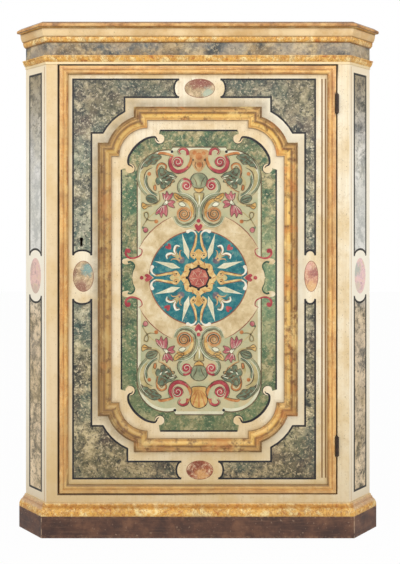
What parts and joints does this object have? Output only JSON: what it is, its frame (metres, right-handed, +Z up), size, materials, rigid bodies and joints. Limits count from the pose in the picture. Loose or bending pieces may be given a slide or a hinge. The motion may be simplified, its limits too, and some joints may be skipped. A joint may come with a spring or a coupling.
{
  "type": "corner cabinet",
  "caption": "Painted wooden corner cupboard with canted sides, one wide hinged plank door with shaped applied mouldings, cornice, plinth, inner shelves and a box lock.",
  "frame": {"origin": "middle of the bounding box on the floor", "axes": "+Z up; the door faces -Y; the right-angled rear corner points along +Y; +X is the hinge side"},
  "size_m": [1.3118, 0.76, 1.809],
  "materials": {
    "cream_paint": "worn cream paint on wood",
    "marbled_moulding": "worn orange marbled paint on wood",
    "plinth_paint": "scuffed dark brown paint on wood",
    "bare_wood": "unpainted old softwood",
    "iron": "dark wrought iron"
  },
  "bodies": {
    "carcass": {"architrave_front": "marbled_moulding", "architrave_left": "marbled_moulding", "architrave_right": "marbled_moulding", "base_moulding_front": "marbled_moulding", "base_moulding_left": "marbled_moulding", "base_moulding_right": "marbled_moulding", "bottom_rail": "cream_paint", "crown_front": "marbled_moulding", "crown_left": "marbled_moulding", "crown_right": "marbled_moulding", "door_stop": "bare_wood", "floor_board": "bare_wood", "frame_nails": "iron", "hinge_frame_leaves": "iron", "hinge_pins": "iron", "left_back_plank_1": "bare_wood", "left_back_plank_2": "bare_wood", "left_back_plank_3": "bare_wood", "left_cant_board": "cream_paint", "left_stile": "cream_paint", "lower_shelf": "bare_wood", "middle_shelf": "bare_wood", "plinth_front": "plinth_paint", "plinth_left": "plinth_paint", "plinth_right": "plinth_paint", "rear_post": "bare_wood", "right_back_plank_1": "bare_wood", "right_back_plank_2": "bare_wood", "right_back_plank_3": "bare_wood", "right_cant_board": "cream_paint", "right_stile": "cream_paint", "shelf_ledges": "bare_wood", "strike_plate": "iron", "top_board": "bare_wood", "top_rail": "cream_paint", "upper_shelf": "bare_wood"},
    "door": {"door_edge_bottom": "marbled_moulding", "door_edge_left": "marbled_moulding", "door_edge_right": "marbled_moulding", "door_edge_top": "marbled_moulding", "door_nails": "iron", "door_plank_1": "cream_paint", "door_plank_2": "cream_paint", "door_plank_3": "cream_paint", "door_plank_4": "cream_paint", "hinge_door_leaves": "iron", "lock_case": "iron", "lock_spring": "iron", "lower_door_batten": "bare_wood", "panel_corner_bottom_left": "marbled_moulding", "panel_corner_bottom_right": "marbled_moulding", "panel_corner_top_left": "marbled_moulding", "panel_corner_top_right": "marbled_moulding", "panel_moulding_bottom": "marbled_moulding", "panel_moulding_left": "marbled_moulding", "panel_moulding_right": "marbled_moulding", "panel_moulding_top": "marbled_moulding", "upper_door_batten": "bare_wood"},
    "lock_bolt": {"lock_bolt": "iron"}
  },
  "joints": [
    {"name": "door_hinge", "type": "hinge", "parent": "carcass", "child": "door", "pos_m": [0.49125, -0.349, 0.9], "axis": [0, 0, 1], "range_deg": [0, 135]},
    {"name": "bolt_slide", "type": "slide", "parent": "door", "child": "lock_bolt", "axis": [-1, 0, 0], "range_m": [0, 0.015]}
  ]
}
